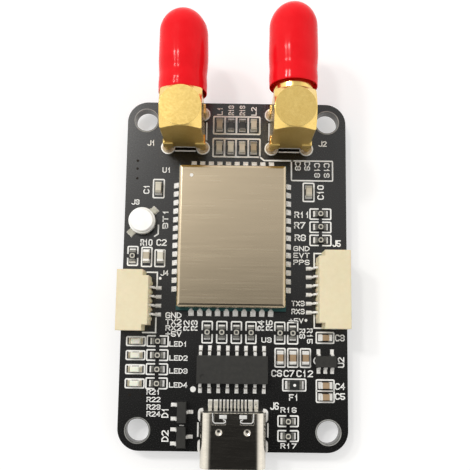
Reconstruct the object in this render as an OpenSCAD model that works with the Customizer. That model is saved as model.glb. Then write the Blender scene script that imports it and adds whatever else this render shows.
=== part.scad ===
// Satellite positioning receiver board, in millimetres.
// A castellated receiver module under a shield can, two right-angle coaxial antenna jacks with
// dust caps, a USB-C socket and two side-entry headers, all on one circuit board.
// The origin is the centre of the four mounting holes, on the underside of the board.
// +Y points at the antenna jacks and +Z up through the parts.

/* [Board] */
// Thickness of the board
board_thickness = 1.6; // [0.8:0.1:2.4]
// Radius of the board's corners
corner_radius = 3; // [0.5:0.1:5]
// Distance from the board's edges to the centres of the mounting holes
hole_inset = 2.75; // [2.4:0.05:3.5]
// Diameter of the mounting holes
hole_diameter = 3.2; // [2:0.1:3.4]

/* [Rows of the layout] */
// Board's left edge to the module's left edge
left_margin = 7.75; // [7:0.1:12]
// Module's right edge to the board's right edge
right_margin = 8.75; // [8:0.1:12]
// Board's top edge to the middle of the jacks' legs
edge_to_jack = 4.3; // [4:0.1:6]
// Middle of the jacks' legs to the module's top edge
jack_to_module = 5.3; // [5:0.1:8]
// Module's bottom edge to the row of series resistors
module_to_series = 3; // [2.7:0.1:5]
// Row of series resistors to the middle of the serial chip
series_to_chip = 5.15; // [4.9:0.05:8]
// Middle of the serial chip to the solder tails of the USB socket
chip_to_tails = 4.75; // [4.5:0.05:8]
// Solder tails of the USB socket to the board's bottom edge
tails_to_edge = 6.5; // [5.5:0.1:7.5]

/* [Receiver module] */
// Width of the module board
module_width = 15.5; // [12:0.5:24]
// Length of the module board
module_length = 21; // [17:0.5:30]
// Thickness of the module board
module_thickness = 0.8; // [0.6:0.1:1.2]
// Height of the shield can above the module board
shield_height = 1.8; // [1.4:0.1:3]
// Sheet thickness of the shield can
shield_wall = 0.2; // [0.1:0.05:0.3]
// Radius of the shield can's corners and top edges
shield_radius = 0.5; // [0.35:0.05:0.8]
// Bare edge of the module board around the shield can
shield_inset = 0.4; // [0.35:0.05:1]
// Bare edge of the module board along the shield can's long sides
shield_side_inset = 0.15; // [0.1:0.05:1]
// How far the solder of a castellation reaches out from the module board
castellation_reach = 0.75; // [0.4:0.05:0.8]
// Distance between castellations
castellation_pitch = 1.25; // [1:0.05:1.6]
// Diameter of the plated half holes
castellation_diameter = 0.6; // [0.4:0.05:0.7]
// Edge length left bare at the module's corners
castellation_margin = 2.4; // [1:0.1:4]

/* [Antenna jacks] */
// Distance between the two jacks
jack_spacing = 15.1; // [14.2:0.1:18]
// Shift of the pair of jacks off the board's middle, to the right
jack_shift = 0.1; // [-1:0.05:1]
// Side of the square block
jack_block = 5.6; // [5:0.1:6.5]
// Height of the block's top above the board
jack_height = 10.3; // [9.5:0.1:11.5]
// Height of the barrel's axis above the board
jack_axis_height = 6.7; // [5.5:0.1:7]
// Gap between the block and the board
jack_standoff = 1.4; // [0.6:0.1:2]
// Distance between neighbouring legs
jack_leg_pitch = 5.08; // [4.6:0.01:5.6]
// Diameter of the legs
jack_leg_diameter = 1; // [0.8:0.05:1.2]
// Length of the legs below the board
jack_leg_tail = 1.2; // [0.5:0.1:2]
// Outside diameter of the threaded barrel
barrel_diameter = 6.35; // [6:0.05:6.6]
// Length of the barrel from the block to its tip
barrel_length = 9.6; // [8:0.1:11]
// Diameter of the plain neck between block and thread
neck_diameter = 5.4; // [5:0.1:5.6]
// Length of the plain neck
neck_length = 1.8; // [1:0.1:3]
// Diameter of the insulator
insulator_diameter = 4.1; // [3.6:0.1:4.4]
// Depth of the mating socket in front of the insulator
socket_depth = 1.9; // [1.5:0.1:2.4]
// Diameter of the mating socket
socket_diameter = 4.6; // [4.4:0.1:5]
// Diameter of the centre contact
contact_diameter = 1.27; // [1:0.01:1.4]
// Diameter of the hole in the centre contact
contact_bore = 0.92; // [0.7:0.01:0.95]

/* [Dust caps] */
// Length of a dust cap
cap_length = 12.5; // [12:0.1:15]
// Wall of a dust cap around the thread
cap_wall = 0.23; // [0.2:0.01:0.8]
// Thickness of a dust cap's closed end
cap_end = 1.2; // [0.6:0.1:1.6]
// Gap between a cap's inside and the thread
cap_clearance = 0.03; // [0.01:0.01:0.1]
// Distance from the left cap's mouth to its block
left_cap_gap = 0.1; // [0.05:0.05:1.5]
// Distance from the right cap's mouth to its block
right_cap_gap = 1.2; // [0.05:0.05:1.5]

/* [USB socket] */
// Outside width of the shell
usb_width = 8.94; // [8.6:0.02:9.4]
// Outside height of the shell
usb_height = 3.16; // [3:0.02:3.4]
// Length of the shell
usb_length = 7.35; // [6.5:0.05:8.5]
// Sheet thickness of the shell
usb_wall = 0.3; // [0.2:0.05:0.4]
// Distance from the middle of the solder tails to the shell's rear edge
usb_tail_reach = 0.9; // [0.7:0.05:1.2]
// Distance between the rear and the front legs of the shell
usb_leg_spacing = 4.2; // [3.8:0.05:4.6]
// Depth of the legs below the board's top face
usb_leg_depth = 1.3; // [0.6:0.1:1.5]
// Width of the tongue
tongue_width = 6.69; // [6:0.01:7]
// Thickness of the tongue
tongue_thickness = 0.7; // [0.6:0.05:0.8]
// Distance from the shell's front edge to the tongue
tongue_setback = 0.9; // [0.5:0.1:1.5]

/* [Headers] */
// Ways of the left header
left_ways = 4; // [2:1:5]
// Ways of the right header
right_ways = 6; // [2:1:6]
// Distance between neighbouring contacts
header_pitch = 1.25; // [1.1:0.05:1.3]
// Length of the housing past its outer contacts, at each end
header_end = 2.3; // [2:0.05:2.5]
// Depth of the housing, from its rear to its mouth
header_depth = 4.35; // [4:0.05:5]
// Shift of the pair of headers off the board's middle, to the right
header_shift = -0.12; // [-0.5:0.02:0.5]
// Height of the housing
header_height = 3.5; // [3:0.1:4.5]
// Length of the housing that stands past the board's edge
header_overhang = 0.05; // [0:0.05:1]
// Wall around the mating cavity
header_wall = 0.6; // [0.4:0.05:0.8]
// Middle of the module down to the middle of the left header
left_header_drop = 9.25; // [8.8:0.05:9.6]
// Middle of the module down to the middle of the right header
right_header_drop = 7.45; // [7.2:0.05:8]
// Side of the square contact wire
wire_side = 0.3; // [0.2:0.02:0.4]

/* [Backup cell] */
// Diameter of the cell's can
cell_diameter = 3.8; // [3.4:0.1:4.4]
// Height of the cell
cell_height = 1.3; // [1:0.1:2]
// Thickness of its tabs
cell_tab_thickness = 0.15; // [0.1:0.01:0.2]
// Width of its tabs
cell_tab_width = 1; // [0.6:0.05:1.2]

/* [Chips] */
// Length of the serial chip's body
serial_length = 9.9; // [9.6:0.1:10.4]
// Width of the serial chip's body
serial_width = 3.9; // [3.5:0.1:4.2]
// Height of the serial chip's body
serial_height = 1.45; // [1:0.05:1.7]
// Span of the serial chip over its leads
serial_span = 6; // [5.6:0.1:6.3]
// Distance between neighbouring leads of the serial chip
serial_pitch = 1.27; // [1.15:0.01:1.3]
// Length of the small three and five leaded bodies
small_length = 2.9; // [2.6:0.05:3]
// Width of the diodes' bodies
diode_width = 1.3; // [1.1:0.05:1.5]
// Span of the diodes over their leads
diode_span = 2.5; // [2.3:0.05:2.7]
// Width of the regulator's body
regulator_width = 1.6; // [1.4:0.05:1.8]
// Span of the regulator over its leads
regulator_span = 2.8; // [2.6:0.05:3]
// Height of the small leaded bodies
small_height = 1; // [0.8:0.05:1.3]
// Distance between neighbouring leads of the small bodies
small_pitch = 0.95; // [0.9:0.01:1]
// Thickness of the leads
lead_thickness = 0.16; // [0.1:0.01:0.22]
// Width of the leads
lead_width = 0.42; // [0.3:0.01:0.5]
// Length of a lead's foot
lead_foot = 0.5; // [0.35:0.05:0.55]

/* [Chip resistors, capacitors and lamps] */
// Length of a chip part
chip_length = 1.6; // [1.4:0.05:1.7]
// Width of a chip part
chip_width = 0.85; // [0.7:0.05:0.9]
// Height of a resistor
resistor_height = 0.45; // [0.3:0.05:0.6]
// Height of a capacitor
capacitor_height = 0.8; // [0.5:0.05:1]
// Length of a chip part's end terminals
terminal_length = 0.32; // [0.2:0.02:0.4]
// Length of the fuse
fuse_length = 2; // [1.8:0.05:2.2]
// Width of the fuse
fuse_width = 1.2; // [1:0.05:1.3]
// Height of the fuse
fuse_height = 0.6; // [0.4:0.05:0.8]
// Height of a lamp's base
lamp_base_height = 0.25; // [0.2:0.05:0.4]
// Height of a lamp's lens above its base
lamp_lens_height = 0.4; // [0.3:0.05:0.6]

/* [Solder] */
// Thickness of the solder under a terminal
solder_thickness = 0.05; // [0.03:0.01:0.08]
// Length of a solder fillet past the end of a terminal
fillet_length = 0.4; // [0.2:0.05:0.45]
// Width of a pad past each side of its terminal
pad_overlap = 0.05; // [0.02:0.01:0.08]
// Diameter of the round pads at the jacks' legs
round_pad_diameter = 2; // [1.7:0.1:2.1]

/* [Hidden] */
$fn = 48;

// A cut runs this far past the face that it opens
past = 1;

// Board outline and the rows of the layout
board_width = left_margin + module_width + right_margin;
board_length = edge_to_jack + jack_to_module + module_length + module_to_series
    + series_to_chip + chip_to_tails + tails_to_edge;
left_edge = -board_width / 2;
right_edge = board_width / 2;
top_edge = board_length / 2;
bottom_edge = -board_length / 2;
deck = board_thickness;
seat = deck + solder_thickness;
jack_y = top_edge - edge_to_jack;
module_top = jack_y - jack_to_module;
module_x = left_edge + left_margin + module_width / 2;
module_y = module_top - module_length / 2;
series_y = module_top - module_length - module_to_series;
chip_y = series_y - series_to_chip;
tails_y = chip_y - chip_to_tails;
hole_spacing_x = board_width - 2 * hole_inset;
hole_spacing_y = board_length - 2 * hole_inset;

// Sides of the module, on the board
module_left = left_edge + left_margin;
module_right = right_edge - right_margin;

// Places of the chip parts: middle and turn of each, from the nearest edge, row or module side
filter_pitch = 1.67;
filter_rise = 0.9;
filter_row_gap = 3.45;
filter_x = [for (i = [0:3]) (i - 1.5) * filter_pitch];
filter_rows = [jack_y + filter_rise, jack_y + filter_rise - filter_row_gap];
left_feed_gap = 2.95;
left_feed_drop = 3.4;
right_feed_gap = 3.3;
right_feed_drop = 3.65;
antenna_feed_capacitors = [
    [module_left - left_feed_gap, module_top - left_feed_drop, 90],
    [module_right + right_feed_gap, module_top - right_feed_drop, 90]
];
pull_up_inset = 3.75;
pull_up_rise = 3.65;
pull_up_pitch = 1.92;
pull_up_resistors = [for (i = [0:2])
    [right_edge - pull_up_inset, module_y + pull_up_rise - i * pull_up_pitch, 0]];
backup_row_drop = 2.8;
backup_row_inset = 1.35;
backup_row_pitch = 2;
backup_row_y = module_y - backup_row_drop;
backup_row_x = [for (i = [0:2]) left_edge + backup_row_inset + i * backup_row_pitch];
series_inset = 3.3;
series_pitch = 2.06;
series_resistors = [for (i = [0:3]) [module_x - series_inset + i * series_pitch, series_y, 90]];
regulator_inset = 3.15;
regulator_drop = 3.9;
regulator_x = right_edge - regulator_inset;
regulator_y = series_y - regulator_drop;
input_capacitor_drop = 0.6;
output_capacitor_drop = 2.05;
output_capacitor_pitch = 1.58;
regulator_capacitors = [
    [regulator_x, series_y - input_capacitor_drop, 0],
    [regulator_x, chip_y - output_capacitor_drop, 0],
    [regulator_x, chip_y - output_capacitor_drop - output_capacitor_pitch, 0]
];
divider_inset = 6.4;
divider_pitch = 1.82;
divider_resistors = [for (i = [0:1]) [regulator_x - divider_inset + i * divider_pitch, series_y, 90]];
bulk_inset = 6.35;
bulk_pitch = 1.78;
bulk_drop = 3.45;
bulk_capacitors = [for (i = [0:2]) [regulator_x - bulk_inset + i * bulk_pitch, series_y - bulk_drop, 90]];
lamp_inset = 2.25;
lamp_drop = 1.35;
lamp_pitch = 1.95;
lamp_x = left_edge + lamp_inset;
lamp_rows = [for (i = [0:3]) series_y - lamp_drop - i * lamp_pitch];
lamp_resistor_gap = 3.05;
lamp_resistors = [for (y = lamp_rows) [lamp_x + lamp_resistor_gap, y, 0]];
usb_resistor_inset = 8.35;
usb_resistor_rise = 2.25;
usb_resistor_pitch = 2;
usb_resistors = [for (i = [0:1])
    [right_edge - usb_resistor_inset, bottom_edge + usb_resistor_rise + i * usb_resistor_pitch, 0]];
fuse_inset = 4.35;
fuse_place = [regulator_x - fuse_inset, chip_y - output_capacitor_drop, 0];
capacitors = concat(
    [for (i = [0, 3]) [filter_x[i], filter_rows[0], 90]],
    [for (x = filter_x) [x, filter_rows[1], 90]],
    antenna_feed_capacitors,
    [for (i = [1, 2]) [backup_row_x[i], backup_row_y, 90]],
    bulk_capacitors,
    regulator_capacitors
);
resistors = concat(
    [for (i = [1, 2]) [filter_x[i], filter_rows[0], 90]],
    pull_up_resistors,
    [[backup_row_x[0], backup_row_y, 90]],
    series_resistors,
    divider_resistors,
    lamp_resistors,
    usb_resistors
);
lamps = [for (y = lamp_rows) [lamp_x, y, 0]];

// Leaded chips
serial_offset = 0.3;
serial_x = module_x + serial_offset;
serial_leads = 16;
diode_inset = 8.9;
diode_rise = 2;
diode_pitch = 3.35;
diode_x = left_edge + diode_inset;
lower_diode_y = bottom_edge + diode_rise;
upper_diode_y = lower_diode_y + diode_pitch;
body_standoff = 0.1;
mould_draft = 0.12;
pad_past_foot = 0.3;

// Antenna jacks
left_jack_x = jack_shift - jack_spacing / 2;
right_jack_x = jack_shift + jack_spacing / 2;
jack_leg_root = 0.6;
leg_hole_clearance = 0.2;
block_chamfer = 1.2;
block_corner = 0.12;
block_top_edge = 0.06;
foot_width = 1.4;
foot_rise = 1.8;
foot_proud = 0.18;
foot_slope = 0.16;
thread_chamfer = 0.5;
contact_step = 0.3;
contact_shortfall = 0.3;
contact_tail = jack_leg_tail - contact_shortfall;
insulator_end_y = jack_block / 2 + barrel_length - socket_depth;
cap_inside_radius = barrel_diameter / 2 + cap_clearance;
cap_radius = cap_inside_radius + cap_wall;

// USB socket
usb_rear = tails_y - usb_tail_reach;
usb_front = usb_rear - usb_length;
usb_radius = usb_height / 2;
usb_leg_width = 1.1;
usb_leg_x = usb_width / 2 - usb_wall;
usb_leg_setback = 0.1;
usb_rear_leg_y = usb_rear - usb_leg_setback - usb_leg_width / 2;
usb_leg_rows = [usb_rear_leg_y, usb_rear_leg_y - usb_leg_spacing];
slot_clearance = 0.2;
usb_base_length = 2.4;
usb_fit = 0.02;
finger_x = 1.9;
finger_width = 1.8;
finger_length = 1.35;
finger_slot = 0.22;
dimple_y = usb_rear - 2.5;
dimple_radius = 0.8;
dimple_depth = 0.14;
strip_width = 0.25;
strip_pitch = 0.5;
strip_thickness = 0.04;
strip_length = 3.2;
tail_length = 0.9;
tail_thickness = 0.12;
wide_tail = 0.6;
narrow_tail = 0.3;
narrow_tail_x = [for (i = [0:7]) (i - 3.5) * strip_pitch];
wide_tail_x = [-3.2, -2.4, 2.4, 3.2];

// Headers
header_rear = board_width / 2 + header_overhang - header_depth;
left_header_y = module_y - left_header_drop;
right_header_y = module_y - right_header_drop;
rib_radius = 0.28;
rib_height = 1.5;
ear_width = 0.8;
ear_step = 0.8;
rear_wall = 0.9;
contact_height = 1.75;
contact_reach = 1.03;
header_pad_length = 0.7;
header_pad_width = 0.55;
mating_length = 2.4;
tab_thickness = 0.2;
tab_length = 1.6;
tab_height = 1.6;
tab_setback = 1.8;

// Backup cell
cell_inset = 2.65;
cell_rise = 2.2;
cell_x = left_edge + cell_inset;
cell_y = module_y + cell_rise;
cell_turn = 45;
cell_lid_step = 0.22;
cell_lid_rise = 0.3;
cell_tab_reach = 0.8;
cell_flange_height = 0.6;

// Parts under the shield can: distances of their middles from the module's edges
under_can = deck + module_thickness;
receiver_side = 7;
receiver_height = 0.85;
receiver_right = 7.2;
receiver_low = 7.3;
receiver_place = [module_width / 2 - receiver_right, receiver_low - module_length / 2];
oscillator_size = [2.5, 2, 0.8];
oscillator_left = 3.4;
oscillator_high = 7.9;
oscillator_place = [oscillator_left - module_width / 2, module_length / 2 - oscillator_high];
memory_size = [3, 2, 0.6];
memory_right = 3.8;
memory_high = 6.3;
memory_place = [module_width / 2 - memory_right, module_length / 2 - memory_high];
filter_size = [1.4, 1.1, 0.5];
filter_left = 2.8;
filter_high = 3.3;
filter_step = 2.7;
filter_drop = 2;
filter_spots = [for (p = [[0, 0], [1, 0], [2, 0], [0, 1]]) [
    filter_left - module_width / 2 + p.x * filter_step,
    module_length / 2 - filter_high - p.y * filter_drop
]];
small_size = [1, 0.5, 0.5];
small_left = 2;
small_low = 2.1;
small_step = 1.9;
small_spots = [for (i = [0:6]) [
    small_left - module_width / 2 + i * small_step,
    small_low - module_length / 2
]];

// Colours
board_black = [0.08, 0.08, 0.09];
solder_silver = [0.8, 0.8, 0.78];
gold = [0.83, 0.66, 0.32];
cap_red = [0.85, 0.06, 0.1];
cream = [0.92, 0.87, 0.7];
can_metal = [0.72, 0.67, 0.56];
steel = [0.62, 0.62, 0.6];
chip_black = [0.12, 0.12, 0.13];
module_green = [0.05, 0.32, 0.3];
ceramic_tan = [0.66, 0.55, 0.42];
ptfe_white = [0.93, 0.93, 0.9];

// Shapes used by several pieces

// A plate with rounded upright corners, centred, standing on z = 0
module rounded_plate(width, length, radius, height) {
    linear_extrude(height) {
        square([width - 2 * radius, length], center = true);
        square([width, length - 2 * radius], center = true);
        for (x = [-1, 1], y = [-1, 1])
            translate([x * (width / 2 - radius), y * (length / 2 - radius)]) circle(radius);
    }
}

// A box centred in plan, standing on z = 0
module slab(size) {
    translate([-size.x / 2, -size.y / 2, 0]) cube(size);
}

// Puts children at each place of a list of [x, y, turn]
module at_places(places, height) {
    for (p = places) translate([p.x, p.y, height]) rotate(p.z) children();
}

// Extrudes an outline drawn in length and height, centred across its width
module bent_strip(outline, width) {
    translate([0, width / 2, 0]) rotate([90, 0, 0]) linear_extrude(width) polygon(outline);
}

// The solder of one chip terminal: a pad under it and a fillet up its end
module chip_joint(end_x, under, width, rise) {
    outline = [
        [end_x - under, 0],
        [end_x + fillet_length, 0],
        [end_x + fillet_length, solder_thickness],
        [end_x + fillet_length * 0.35, rise * 0.45],
        [end_x, rise],
        [end_x, solder_thickness],
        [end_x - under, solder_thickness]
    ];
    bent_strip(outline, width + 2 * pad_overlap);
}

// Both solder joints of each chip part in a list
module chip_joints(places, length, width, height) {
    at_places(places, deck)
        for (turn = [0, 180])
            rotate(turn) chip_joint(length / 2, terminal_length, width, solder_thickness + height * 0.6);
}

// Middle part of a chip, between its terminals
module chip_middle(length, width, height) {
    slab([length - 2 * terminal_length, width - 0.04, height - 0.02]);
}

// Both end terminals of a chip
module chip_ends(length, width, height) {
    for (side = [-1, 1])
        translate([side * (length - terminal_length) / 2, 0, 0]) slab([terminal_length, width, height]);
}

// Moulded body with drafted sides above and below the leads, standing on z = 0
module moulded_body(length, width, height, lead_top) {
    band = [lead_top - lead_thickness, lead_top];
    intersection() {
        bent_strip(drafted_outline(length, height, band), width);
        rotate(90) bent_strip(drafted_outline(width, height, band), length);
    }
}

function drafted_outline(span, height, band) = [
    [-span / 2 + mould_draft * band[0], 0],
    [span / 2 - mould_draft * band[0], 0],
    [span / 2, band[0]],
    [span / 2, band[1]],
    [span / 2 - mould_draft * (height - band[1]), height],
    [-span / 2 + mould_draft * (height - band[1]), height],
    [-span / 2, band[1]],
    [-span / 2, band[0]]
];

// Height of the leads' top where they leave a moulded body
function lead_exit(height) = body_standoff + height / 2 + lead_thickness / 2;

// A gull-wing lead along +X, from the body's side at x = 0 down to its foot
module gull_lead(reach, exit_top, width) {
    knee = (reach - lead_foot) * 0.45;
    outline = [
        [0, exit_top],
        [knee + lead_thickness, exit_top],
        [reach - lead_foot + lead_thickness, lead_thickness],
        [reach, lead_thickness],
        [reach, 0],
        [reach - lead_foot, 0],
        [knee, exit_top - lead_thickness],
        [0, exit_top - lead_thickness]
    ];
    bent_strip(outline, width);
}

// A row of leads on the +Y side of a body
module lead_row(offsets, body_width, span, exit_top) {
    for (x = offsets)
        translate([x, body_width / 2, 0]) rotate(90)
            gull_lead((span - body_width) / 2, exit_top, lead_width);
}

// Pads under a row of leads on the +Y side
module pad_row(offsets, span) {
    pad_length = lead_foot + pad_past_foot;
    for (x = offsets)
        translate([x, span / 2 - lead_foot + pad_length / 2, 0])
            slab([lead_width + 2 * pad_overlap, pad_length, solder_thickness]);
}

function row_offsets(count, pitch) = [for (i = [0:count - 1]) (i - (count - 1) / 2) * pitch];

// Offsets of the leads: sixteen on the serial chip, five on the regulator, three on a diode
serial_row = row_offsets(serial_leads / 2, serial_pitch);
regulator_low_row = row_offsets(3, small_pitch);
outer_pair = [-small_pitch, small_pitch];

// Board

module jack_holes() {
    for (x = [left_jack_x, right_jack_x]) translate([x, jack_y, -past]) {
        for (sx = [-1, 1], sy = [-1, 1])
            translate([sx, sy, 0] * jack_leg_pitch / 2)
                cylinder(d = jack_leg_diameter + 2 * leg_hole_clearance, h = deck + 2 * past);
        cylinder(d = contact_diameter + 2 * leg_hole_clearance, h = deck + 2 * past);
    }
}

module usb_leg_slots() {
    for (side = [-1, 1], y = usb_leg_rows)
        translate([side * (usb_leg_x + usb_wall / 2), y, -past])
            rounded_plate(usb_wall + 2 * slot_clearance, usb_leg_width + 2 * slot_clearance,
                usb_wall / 2 + slot_clearance - 0.01, deck + 2 * past);
}

module circuit_board() {
    color(board_black) difference() {
        rounded_plate(board_width, board_length, corner_radius, board_thickness);
        for (x = [-1, 1], y = [-1, 1])
            translate([x * hole_spacing_x / 2, y * hole_spacing_y / 2, -past])
                cylinder(d = hole_diameter, h = deck + 2 * past);
        jack_holes();
        usb_leg_slots();
    }
}

// Solder cone around a round leg, standing on z = 0
module leg_joint(leg_diameter) {
    rotate_extrude() polygon([
        [leg_diameter / 2, 0],
        [round_pad_diameter / 2, 0],
        [round_pad_diameter / 2, solder_thickness],
        [leg_diameter / 2 + 0.15, 0.3],
        [leg_diameter / 2, 0.5]
    ]);
}

module jack_joints() {
    for (x = [left_jack_x, right_jack_x]) translate([x, jack_y, 0]) {
        for (sx = [-1, 1], sy = [-1, 1]) translate([sx, sy, 0] * jack_leg_pitch / 2) {
            translate([0, 0, deck]) leg_joint(jack_leg_diameter);
            mirror([0, 0, 1]) leg_joint(jack_leg_diameter);
        }
        mirror([0, 0, 1]) leg_joint(contact_diameter);
    }
}

module usb_joints() {
    translate([0, tails_y, deck]) {
        for (x = narrow_tail_x)
            translate([x, 0, 0]) slab([narrow_tail, tail_length + pad_past_foot, solder_thickness]);
        for (x = wide_tail_x)
            translate([x, 0, 0]) slab([wide_tail, tail_length + pad_past_foot, solder_thickness]);
    }
    for (side = [-1, 1], y = usb_leg_rows)
        translate([side * (usb_leg_x + usb_wall / 2), y, deck]) difference() {
            rounded_plate(usb_wall + 0.8, usb_leg_width + 0.8, (usb_wall + 0.8) / 2 - 0.01,
                solder_thickness);
            translate([0, 0, -past]) slab([usb_wall, usb_leg_width, solder_thickness + 2 * past]);
            translate([-side * (usb_wall + usb_width) / 2, 0, -past])
                slab([usb_width, usb_leg_width + past, solder_thickness + 2 * past]);
        }
}

module header_joints(ways) {
    for (y = row_offsets(ways, header_pitch))
        translate([-contact_reach, y, 0])
            slab([header_pad_length + 2 * pad_overlap, header_pad_width, solder_thickness]);
}

module cell_joints() {
    for (side = [-1, 1])
        translate([side * (cell_diameter / 2 + cell_tab_reach / 2), 0, 0])
            slab([cell_tab_reach + 2 * pad_overlap, cell_tab_width + 2 * pad_overlap,
                solder_thickness]);
}

module diode_pads() {
    pad_row(outer_pair, diode_span);
    rotate(180) pad_row([0], diode_span);
}

module solder_joints() {
    color(solder_silver) {
        jack_joints();
        usb_joints();
        at_header("left") header_joints(left_ways);
        at_header("right") header_joints(right_ways);
        translate([cell_x, cell_y, deck]) rotate(cell_turn) cell_joints();
        chip_joints(capacitors, chip_length, chip_width, capacitor_height);
        chip_joints(resistors, chip_length, chip_width, resistor_height);
        chip_joints(lamps, chip_length, chip_width, lamp_base_height);
        chip_joints([fuse_place], fuse_length, fuse_width, fuse_height);
        translate([serial_x, chip_y, deck])
            for (turn = [0, 180]) rotate(turn) pad_row(serial_row, serial_span);
        translate([regulator_x, regulator_y, deck]) {
            pad_row(outer_pair, regulator_span);
            rotate(180) pad_row(regulator_low_row, regulator_span);
        }
        for (y = [upper_diode_y, lower_diode_y])
            translate([diode_x, y, deck]) rotate(90) diode_pads();
    }
}

// Receiver module

module at_module() {
    translate([module_x, module_y, deck]) children();
}

// Puts children at each castellation, with +X pointing out of the module's edge
module at_castellations() {
    long_side = floor((module_length - 2 * castellation_margin) / castellation_pitch) + 1;
    short_side = floor((module_width - 2 * castellation_margin) / castellation_pitch) + 2;
    for (turn = [0, 180]) rotate(turn) {
        for (y = row_offsets(long_side, castellation_pitch))
            translate([module_width / 2, y, 0]) children();
        for (x = row_offsets(short_side, castellation_pitch))
            translate([x, module_length / 2, 0]) rotate(90) children();
    }
}

module module_board() {
    color(module_green) at_module() difference() {
        slab([module_width, module_length, module_thickness]);
        at_castellations()
            translate([0, 0, -past])
                cylinder(d = castellation_diameter, h = module_thickness + 2 * past);
    }
}

// Solder that fills a half hole and runs down to the pad beside it
module castellation_joint() {
    width = castellation_diameter + 0.15;
    bent_strip([
        [0, 0],
        [castellation_reach, 0],
        [castellation_reach, solder_thickness],
        [castellation_reach * 0.4, module_thickness * 0.55],
        [0, module_thickness * 0.8]
    ], width);
    cylinder(d = castellation_diameter - 0.02, h = module_thickness * 0.8);
}

module module_solder() {
    color(solder_silver) at_module() at_castellations() castellation_joint();
}

// A bar along Y whose two top edges are rounded, standing on z = 0
module crowned_bar(width, length, height, radius) {
    translate([0, length / 2, 0]) rotate([90, 0, 0]) linear_extrude(length) {
        translate([-width / 2, 0]) square([width, height - radius]);
        translate([radius - width / 2, 0]) square([width - 2 * radius, height]);
        for (side = [-1, 1]) translate([side * (width / 2 - radius), height - radius]) circle(radius);
    }
}

// A drawn shape: rounded upright corners and rounded top edges
module drawn_shape(width, length, height, radius) {
    intersection() {
        rounded_plate(width, length, radius, height);
        crowned_bar(width, length, height, radius);
        rotate(90) crowned_bar(length, width, height, radius);
    }
}

module module_shield() {
    width = module_width - 2 * shield_side_inset;
    length = module_length - 2 * shield_inset;
    inner = shield_radius - shield_wall;
    color(can_metal) translate([module_x, module_y, under_can]) difference() {
        drawn_shape(width, length, shield_height, shield_radius);
        translate([0, 0, -past])
            drawn_shape(width - 2 * shield_wall, length - 2 * shield_wall,
                shield_height - shield_wall + past, inner);
    }
}

module in_can(place) {
    translate([module_x + place.x, module_y + place.y, under_can]) children();
}

module receiver_chip() {
    color(chip_black) in_can(receiver_place)
        slab([receiver_side, receiver_side, receiver_height]);
}

module module_oscillator() {
    lid = 0.25;
    color(gold) in_can(oscillator_place) {
        slab([oscillator_size.x, oscillator_size.y, oscillator_size.z - lid]);
        rounded_plate(oscillator_size.x - 0.3, oscillator_size.y - 0.3, 0.2, oscillator_size.z);
    }
}

module module_memory() {
    color(chip_black) in_can(memory_place) slab(memory_size);
}

module signal_filters() {
    color(ceramic_tan) for (p = filter_spots) in_can(p) slab(filter_size);
}

module module_capacitors() {
    color(ceramic_tan) for (p = small_spots) in_can(p) rotate(90) slab(small_size);
}

// Antenna jacks

module at_jack(x) {
    translate([x, jack_y, deck]) children();
}

// Turns a profile, drawn as radius and distance from the jack's middle, about the barrel's axis
module about_barrel() {
    translate([0, 0, jack_axis_height]) rotate([-90, 0, 0]) rotate_extrude() children();
}

module jack_block_shape() {
    reach = jack_block * sqrt(2) / 2 - block_corner;
    intersection() {
        translate([0, 0, jack_standoff])
            slab([jack_block, jack_block, jack_height - jack_standoff]);
        rotate_extrude() polygon([
            [0, 0],
            [reach, 0],
            [reach, jack_height - block_chamfer],
            [jack_block / 2 - block_top_edge, jack_height],
            [0, jack_height]
        ]);
    }
}

// A foot at a corner of the block, a little proud of it and sloped at the top, centred on its leg's corner
module jack_foot() {
    out = jack_block / 2 + foot_proud;
    middle = out - foot_width / 2;
    outline = [
        [-foot_width / 2, 0],
        [foot_width / 2, 0],
        [foot_width / 2, foot_rise - foot_slope],
        [foot_width / 2 - foot_slope, foot_rise],
        [-foot_width / 2, foot_rise]
    ];
    translate([middle, middle, jack_standoff]) intersection() {
        bent_strip(outline, foot_width);
        rotate(90) bent_strip(outline, foot_width);
    }
}

module jack_body() {
    front = jack_block / 2;
    tip = front + barrel_length;
    color(gold) difference() {
        union() {
            jack_block_shape();
            for (turn = [0:90:270]) rotate(turn) jack_foot();
            for (sx = [-1, 1], sy = [-1, 1])
                translate([sx * jack_leg_pitch / 2, sy * jack_leg_pitch / 2, -deck - jack_leg_tail])
                    cylinder(d = jack_leg_diameter,
                        h = deck + jack_leg_tail + jack_standoff + jack_leg_root);
            about_barrel() polygon([
                [0, 0],
                [neck_diameter / 2, 0],
                [neck_diameter / 2, front + neck_length],
                [barrel_diameter / 2, front + neck_length + thread_chamfer],
                [barrel_diameter / 2, tip - thread_chamfer],
                [barrel_diameter / 2 - thread_chamfer, tip],
                [0, tip]
            ]);
        }
        about_barrel() polygon([
            [0, 0],
            [insulator_diameter / 2, 0],
            [insulator_diameter / 2, insulator_end_y],
            [socket_diameter / 2, insulator_end_y],
            [socket_diameter / 2, tip + past],
            [0, tip + past]
        ]);
        cylinder(d = insulator_diameter - 2 * contact_step, h = jack_axis_height);
    }
}

module jack_insulator() {
    color(ptfe_white) difference() {
        union() {
            about_barrel() square([insulator_diameter / 2, insulator_end_y]);
            translate([0, 0, jack_standoff])
                cylinder(d = insulator_diameter - 2 * contact_step,
                    h = jack_axis_height - jack_standoff);
        }
        about_barrel() square([contact_diameter / 2, insulator_end_y + past]);
        cylinder(d = contact_diameter, h = jack_axis_height);
    }
}

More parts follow.
